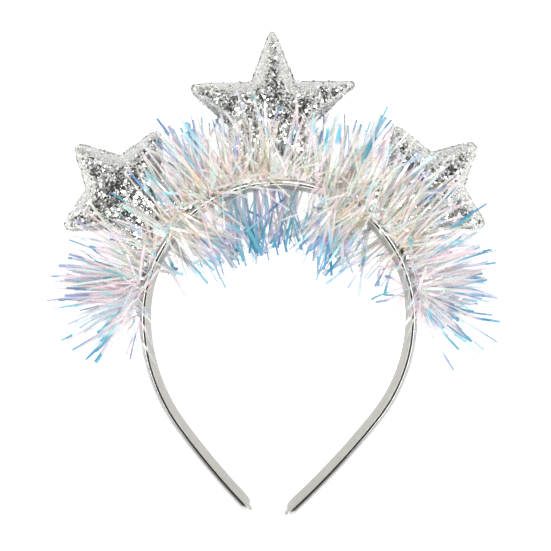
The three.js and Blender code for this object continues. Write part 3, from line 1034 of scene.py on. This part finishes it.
def growStrands(group, rng, inward=False):
    tuft = garland["tuft"]
    strand = garland["strand"]
    tries = group["count"] * garland["spares"]
    tufts = group["tufts"]
    spans = group.get("spans", [(garland["start"], garland["end"])])
    tuftAt = tuftPlaces(spans, tufts, rng)
    tuftLean = rng.normal(0, group["lean"][0], tufts)
    tuftLift = rng.normal(0, tuft["lift"], tufts)
    tuftReach = rng.normal(1, tuft["reach"], tufts)
    tuftTone = rng.random(tufts)
    pick = rng.integers(tufts, size=tries)
    bearing = np.clip(tuftAt[pick] + rng.normal(0, tuft["breadth"], tries), spans[0][0], spans[-1][1])
    line, out = stripLine(bearing)
    clockwise = np.stack([out[:, 1], -out[:, 0]], -1)
    lean = tuftLean[pick] + rng.normal(0, group["lean"][1], tries)
    usual, spread, longest = group["reach"]
    reach = rng.normal(usual, spread, tries) * tuftReach[pick]
    way = -out if inward else out
    if "reachShares" in group:
        shares = np.array(group["reachShares"], float)
        reach = reach * np.interp(bearing, shares[:, 0], shares[:, 1])
    if not inward:
        toEnd = smoothStep(garland["end"] - garland["endFan"], garland["end"], bearing)
        toStart = smoothStep(garland["start"] + garland["endFan"], garland["start"], bearing)
        turned = (toEnd - toStart) * rng.random(tries) ** strand["turnPower"]
        lean = lean + turned * np.where(turned < 0, *garland["endLean"])
        reach = reach * (1 - garland["endShort"] * np.abs(turned))
    reach = np.clip(reach, strand["shortest"], longest)
    lean = np.radians(lean)
    height = rng.uniform(*group["height"], tries)
    lift = np.radians(rng.uniform(*group["lift"], tries) + tuftLift[pick] * tuft["liftShare"])
    lift = np.minimum(lift, np.arcsin(np.clip((garland["ceiling"] - height) / reach, 0, 1)))
    plan = way * np.cos(lean)[:, None] + clockwise * np.sin(lean)[:, None]
    ahead = np.column_stack([plan * np.cos(lift)[:, None], np.sin(lift)])
    offset = rng.uniform(*group["offset"], tries)
    root = np.column_stack([line + out * offset[:, None], height])

    # a slight curve, a few strands folded over (2 is past the tip, so no fold), all kept above the table
    s = np.linspace(0, 1, film["rings"])
    along = s[None, :, None]
    bend = rng.normal(0, strand["bend"], (tries, 3))
    bend[:, 2] -= strand["droop"]
    folded = rng.random(tries) < group.get("fold", strand["fold"]["share"])
    fold = np.where(folded, rng.uniform(*strand["fold"]["place"], tries), 2.0)[:, None, None]
    foldWay = unit(ahead + rng.normal(0, strand["fold"]["turn"], (tries, 3)) * strand["fold"]["flat"])
    route = ahead[:, None] * np.minimum(along, fold) + foldWay[:, None] * np.maximum(along - fold, 0)
    centres = root[:, None] + reach[:, None, None] * (route + bend[:, None] * along**2)
    low = tableHeight(centres[..., 1]) + garland["tableGap"]
    centres[..., 2] = np.maximum(centres[..., 2], low)

    # the ribbon's flat side turns a little from root to tip
    level = unit(np.cross(ahead, [0, 0, 1.0]))
    upright = np.cross(level, ahead)
    twist = strand["twist"]
    turn = rng.uniform(-twist["root"], twist["root"], (tries, 1))
    turn = turn + rng.normal(0, twist["along"], (tries, 1)) * s
    across = level[:, None] * np.cos(turn)[..., None] + upright[:, None] * np.sin(turn)[..., None]

    # tints wander along each strand; most turn blue towards the tip, some stay pale, some have a blue patch
    side = smoothStep(*garland["sides"], np.abs(bearing))[:, None]
    tone = (tuftTone[pick] * tuft["tone"] + rng.random(tries) * (1 - tuft["tone"]))[:, None]
    tone = tone + rng.normal(0, strand["tone"]["drift"], (tries, 1)) * (s - 0.5)
    tone = tone + rng.normal(0, strand["tone"]["grain"], (tries, len(s)))
    tone = np.abs((tone + 1) % 2 - 1)  # folded back into 0 to 1
    tone = tone + (1 - tone) * garland["sideTone"] * side
    fromTone, toTone = group.get("tones", (0, 1))
    tone = fromTone + (toTone - fromTone) * tone
    first, last = group["cool"]
    paler = first + strand["cool"]["pale"] * (last - first)
    last = np.where(rng.random(tries) < group["pale"], paler, last)
    rise = smoothStep(*strand["cool"]["path"], s) * rng.uniform(*strand["cool"]["vary"], (tries, 1))
    cool = first + (last - first)[:, None] * rise
    patched = rng.random((tries, 1)) < group.get("patchShare", garland["patchShare"])
    fromPatch = s - rng.uniform(*strand["patch"]["place"], (tries, 1))
    cool = cool + garland["patch"] * patched * np.exp(-((fromPatch / strand["patch"]["length"]) ** 4))
    cool = np.clip(cool + garland["sideCool"] * side, 0, 1)

    keep = np.flatnonzero(~inStars(centres).any(1))[: group["count"]]
    widths = rng.uniform(*group.get("width", garland["width"]), tries)
    widths = np.where(rng.random(tries) < garland["broadShare"], widths * garland["broad"], widths)
    print(" ", group["name"], len(keep), "of", group["count"])
    return [values[keep] for values in (centres, across, widths, tone, cool)]


# broad strips wound over the strip's front edge, from a bearing outside to one inside
wraps = dict(
    rows=[(-14, -21), (-38, -47), (-52, -60), (-88, -100), (-94, -107), (25, 34), (31, 42), (46, 54),
          (58, 70), (64, 79), (70, 88), (78, 93), (84, 101)],
    crownRows=[(-2, -8), (-9, -3), (-19, -27), (-27, -20), (-30, -37), (16, 22), (20, 13)],
    width=(0.9, 1.5),
    clear=0.14,
    toneDrift=0.3,
    cool=(0.0, 0.35),
    path=dict(  # out of the strip's middle in half thicknesses, down from its front, and the way it faces
        out=(1.0, 1.0, 0.55, -0.55, -1.0, -1.0, -1.0, -1.0),
        down=(4.0, 0.6, 0.0, 0.0, 0.6, 3.4, 6.4, 9.0),
        facing=(0.0, 30.0, 75.0, 105.0, 150.0, 180.0, 180.0, 180.0),
    ),
)


def windStrips(rows, rng):
    rows = np.array(rows, float)
    count = len(rows)
    s = np.linspace(0, 1, film["rings"])
    line, out = stripLine(rows[:, :1] + (rows[:, 1:] - rows[:, :1]) * s)
    path = {key: np.array(values) for key, values in wraps["path"].items()}
    stand = path["out"] * (strip["thickness"] / 2 + wraps["clear"])
    height = strip["width"] + wraps["clear"] - path["down"]
    heights = np.zeros((count, len(s), 1)) + height[:, None]
    centres = np.concatenate([line + out * stand[:, None], heights], -1)
    turn = np.radians(path["facing"])[None, :, None]
    facing = np.concatenate([out * np.cos(turn), np.sin(turn) + np.zeros((count, 1, 1))], -1)
    across = np.cross(np.gradient(centres, axis=1), facing)
    tone = np.clip(rng.random((count, 1)) + rng.normal(0, wraps["toneDrift"], (count, 1)) * s, 0, 1)
    cool = rng.uniform(*wraps["cool"], (count, 1)) + 0 * s
    return [centres, across, rng.uniform(*wraps["width"], count), tone, cool]


def makeTinsel():
    finish = filmFinish()
    rng = np.random.default_rng(garland["seed"])
    layers = [growStrands(group, rng) for group in garland["outer"]]
    layers.append(windStrips(wraps["rows"], rng))
    lateRng = np.random.default_rng(garland["seed"] + 1)
    layers += [growStrands(group, lateRng) for group in garland["late"]]
    layers.append(windStrips(wraps["crownRows"], lateRng))
    outer = ribbonPiece("tinsel_outside", *[np.concatenate(part) for part in zip(*layers)], finish)
    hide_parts("tinsel_outer")
    layers = [growStrands(group, rng, inward=True) for group in garland["inner"]]
    inner = ribbonPiece("tinsel_inside", *[np.concatenate(part) for part in zip(*layers)], finish)
    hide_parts("tinsel_inner")


makeTinsel()
